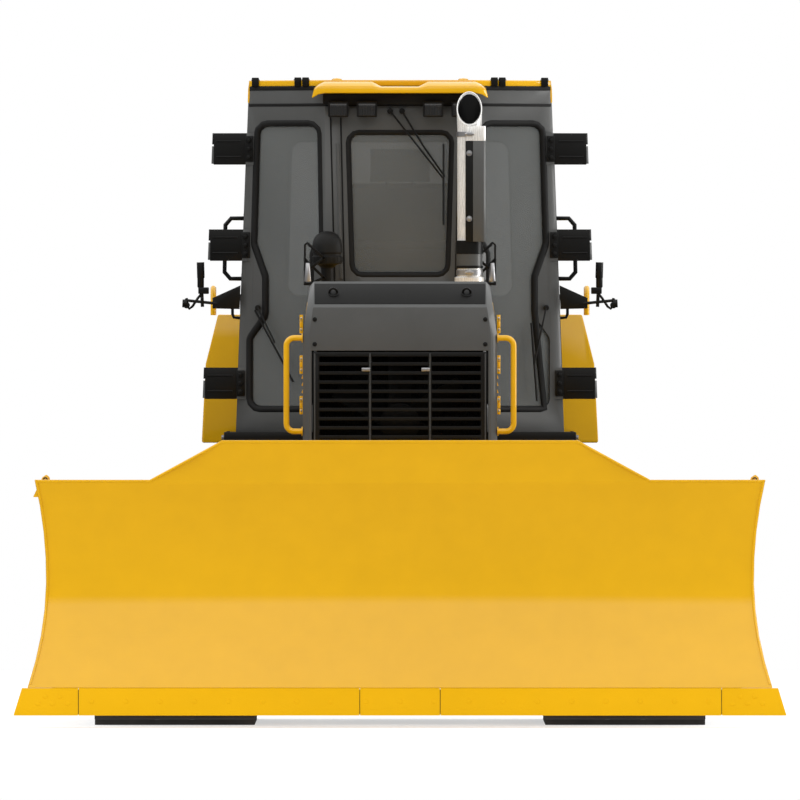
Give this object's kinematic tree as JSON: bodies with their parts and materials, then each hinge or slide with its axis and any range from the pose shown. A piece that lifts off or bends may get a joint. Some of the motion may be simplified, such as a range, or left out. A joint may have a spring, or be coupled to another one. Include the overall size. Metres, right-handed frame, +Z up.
{
  "type": "crawler bulldozer",
  "caption": "Crawler dozer with enclosed cab, wide curved blade that lifts, angles and tilts on a push frame, low ground pressure tracks, side exhaust and rear tank",
  "frame": {"origin": "on the ground under the middle of the overall length and of the gauge", "axes": "+X to the machine's left, +Y to its rear, +Z up; the blade faces -Y"},
  "size_m": [3.4038, 4.8076, 2.887],
  "materials": {
    "machine_yellow": "satin yellow enamel",
    "dark_grey": "satin dark grey enamel",
    "black_plastic": "fine-grained matte black",
    "track_steel": "dark forged steel",
    "exhaust_steel": "bright stainless tube",
    "rod_chrome": "hard chrome",
    "tinted_glass": "grey tinted glass",
    "seat_fabric": "black woven cloth"
  },
  "bodies": {
    "chassis": {"main_frame": "dark_grey", "engine": "track_steel", "radiator": "black_plastic", "hood": "machine_yellow", "hood_front": "dark_grey", "exhaust_stack": "exhaust_steel", "precleaner": "black_plastic", "cab_frame": "dark_grey", "cab_roof": "machine_yellow", "front_visor": "machine_yellow", "front_work_lamps": "black_plastic", "windshield": "tinted_glass", "rear_window": "tinted_glass", "deck": "black_plastic", "operator_seat": "seat_fabric", "console": "black_plastic", "rear_fuel_tank": "machine_yellow", "hitch": "dark_grey", "quarter_window_left": "tinted_glass", "handrail_left": "machine_yellow", "mirror_bracket_left": "black_plastic", "track_frame_left": "machine_yellow", "track_left": "track_steel", "sprocket_left": "machine_yellow", "final_drive_left": "dark_grey", "lift_bracket_left": "dark_grey", "quarter_window_right": "tinted_glass", "handrail_right": "machine_yellow", "mirror_bracket_right": "black_plastic", "track_frame_right": "machine_yellow", "track_right": "track_steel", "sprocket_right": "machine_yellow", "final_drive_right": "dark_grey", "lift_bracket_right": "dark_grey"},
    "fan": {"fan": "black_plastic"},
    "grille_door": {"grille_door": "black_plastic"},
    "push_frame": {"push_frame": "machine_yellow"},
    "blade_yoke": {"blade_yoke": "machine_yellow"},
    "blade": {"blade": "machine_yellow", "cutting_edge": "machine_yellow"},
    "cab_door_left": {"cab_door_left": "dark_grey", "cab_door_glass_left": "tinted_glass"},
    "engine_door_left": {"engine_door_left": "machine_yellow"},
    "cab_door_right": {"cab_door_right": "dark_grey", "cab_door_glass_right": "tinted_glass"},
    "engine_door_right": {"engine_door_right": "machine_yellow"},
    "lift_cylinder_barrel_left": {"lift_cylinder_barrel_left": "machine_yellow"},
    "lift_cylinder_rod_left": {"lift_cylinder_rod_left": "rod_chrome"},
    "lift_cylinder_barrel_right": {"lift_cylinder_barrel_right": "machine_yellow"},
    "lift_cylinder_rod_right": {"lift_cylinder_rod_right": "rod_chrome"},
    "angle_cylinder_barrel_left": {"angle_cylinder_barrel_left": "machine_yellow"},
    "angle_cylinder_rod_left": {"angle_cylinder_rod_left": "rod_chrome"},
    "angle_cylinder_barrel_right": {"angle_cylinder_barrel_right": "machine_yellow"},
    "angle_cylinder_rod_right": {"angle_cylinder_rod_right": "rod_chrome"},
    "tilt_cylinder_barrel": {"tilt_cylinder_barrel": "machine_yellow"},
    "tilt_cylinder_rod": {"tilt_cylinder_rod": "rod_chrome"}
  },
  "joints": [
    {"name": "fan_spin", "type": "hinge", "parent": "chassis", "child": "fan", "pos_m": [0, -1.12623, 1.34], "axis": [0, 1, 0], "continuous": true},
    {"name": "grille_hinge", "type": "hinge", "parent": "chassis", "child": "grille_door", "pos_m": [-0.388, -1.27023, 1.3], "axis": [0, 0, 1], "range_deg": [-110, 0]},
    {"name": "cab_door_hinge_left", "type": "hinge", "parent": "chassis", "child": "cab_door_left", "pos_m": [0.868, 0.45377, 1.518], "axis": [0.0373, 0, -0.9993], "range_deg": [0, 110]},
    {"name": "engine_door_hinge_left", "type": "hinge", "parent": "chassis", "child": "engine_door_left", "pos_m": [0.443, -1.01123, 1.6], "axis": [0, 0, -1], "range_deg": [0, 100]},
    {"name": "cab_door_hinge_right", "type": "hinge", "parent": "chassis", "child": "cab_door_right", "pos_m": [-0.868, 0.45377, 1.518], "axis": [0.0373, 0, 0.9993], "range_deg": [0, 110]},
    {"name": "engine_door_hinge_right", "type": "hinge", "parent": "chassis", "child": "engine_door_right", "pos_m": [-0.443, -1.01123, 1.6], "axis": [0, 0, 1], "range_deg": [0, 100]},
    {"name": "blade_lift", "type": "hinge", "parent": "chassis", "child": "push_frame", "pos_m": [0, -0.04623, 0.45], "axis": [-1, 0, 0], "range_deg": [-10, 22]},
    {"name": "blade_angle", "type": "hinge", "parent": "push_frame", "child": "blade_yoke", "pos_m": [0, -1.88623, 0.46], "axis": [0, 0, 1], "range_deg": [-25, 25]},
    {"name": "blade_tilt", "type": "hinge", "parent": "blade_yoke", "child": "blade", "pos_m": [0, -2.06623, 0.46], "axis": [0, 1, 0], "range_deg": [-7, 7]},
    {"name": "lift_barrel_swing_left", "type": "hinge", "parent": "chassis", "child": "lift_cylinder_barrel_left", "pos_m": [0.545, -0.59623, 1.21], "axis": [1, 0, 0], "range_deg": [-4.96, 10.91]},
    {"name": "lift_rod_stroke_left", "type": "slide", "parent": "lift_cylinder_barrel_left", "child": "lift_cylinder_rod_left", "axis": [0, 0.0491, -0.9988], "range_m": [-0.1786, 0.0813]},
    {"name": "lift_barrel_swing_right", "type": "hinge", "parent": "chassis", "child": "lift_cylinder_barrel_right", "pos_m": [-0.545, -0.59623, 1.21], "axis": [1, 0, 0], "range_deg": [-4.96, 10.91]},
    {"name": "lift_rod_stroke_right", "type": "slide", "parent": "lift_cylinder_barrel_right", "child": "lift_cylinder_rod_right", "axis": [0, 0.0491, -0.9988], "range_m": [-0.1786, 0.0813]},
    {"name": "angle_barrel_swing_left", "type": "hinge", "parent": "push_frame", "child": "angle_cylinder_barrel_left", "pos_m": [0.52, -0.94623, 0.62], "axis": [0, 0, 1], "range_deg": [-2.62, 2.62]},
    {"name": "angle_rod_stroke_left", "type": "slide", "parent": "angle_cylinder_barrel_left", "child": "angle_cylinder_rod_left", "axis": [0.0094, -1, 0], "range_m": [-0.2277, 0.2277]},
    {"name": "angle_barrel_swing_right", "type": "hinge", "parent": "push_frame", "child": "angle_cylinder_barrel_right", "pos_m": [-0.52, -0.94623, 0.62], "axis": [0, 0, 1], "range_deg": [-2.62, 2.62]},
    {"name": "angle_rod_stroke_right", "type": "slide", "parent": "angle_cylinder_barrel_right", "child": "angle_cylinder_rod_right", "axis": [-0.0094, -1, 0], "range_m": [-0.2277, 0.2277]},
    {"name": "tilt_barrel_swing", "type": "hinge", "parent": "blade_yoke", "child": "tilt_cylinder_barrel", "pos_m": [-0.36, -2.11423, 0.9], "axis": [0, 1, 0], "range_deg": [-3.63, 3.63]},
    {"name": "tilt_rod_stroke", "type": "slide", "parent": "tilt_cylinder_barrel", "child": "tilt_cylinder_rod", "axis": [0.9996, 0, 0.0278], "range_m": [-0.0551, 0.0551]}
  ],
  "couplings": [
    {"joint": "lift_barrel_swing_left", "follows": "blade_lift", "ratio": 0.4953},
    {"joint": "lift_rod_stroke_left", "follows": "blade_lift", "m_per_rad": -0.4645},
    {"joint": "lift_barrel_swing_right", "follows": "blade_lift", "ratio": 0.4953},
    {"joint": "lift_rod_stroke_right", "follows": "blade_lift", "m_per_rad": -0.4645},
    {"joint": "angle_barrel_swing_left", "follows": "blade_angle", "ratio": 0.1046},
    {"joint": "angle_rod_stroke_left", "follows": "blade_angle", "m_per_rad": -0.5214},
    {"joint": "angle_barrel_swing_right", "follows": "blade_angle", "ratio": 0.1046},
    {"joint": "angle_rod_stroke_right", "follows": "blade_angle", "m_per_rad": 0.5214},
    {"joint": "tilt_barrel_swing", "follows": "blade_tilt", "ratio": 0.5174},
    {"joint": "tilt_rod_stroke", "follows": "blade_tilt", "m_per_rad": 0.4496}
  ]
}
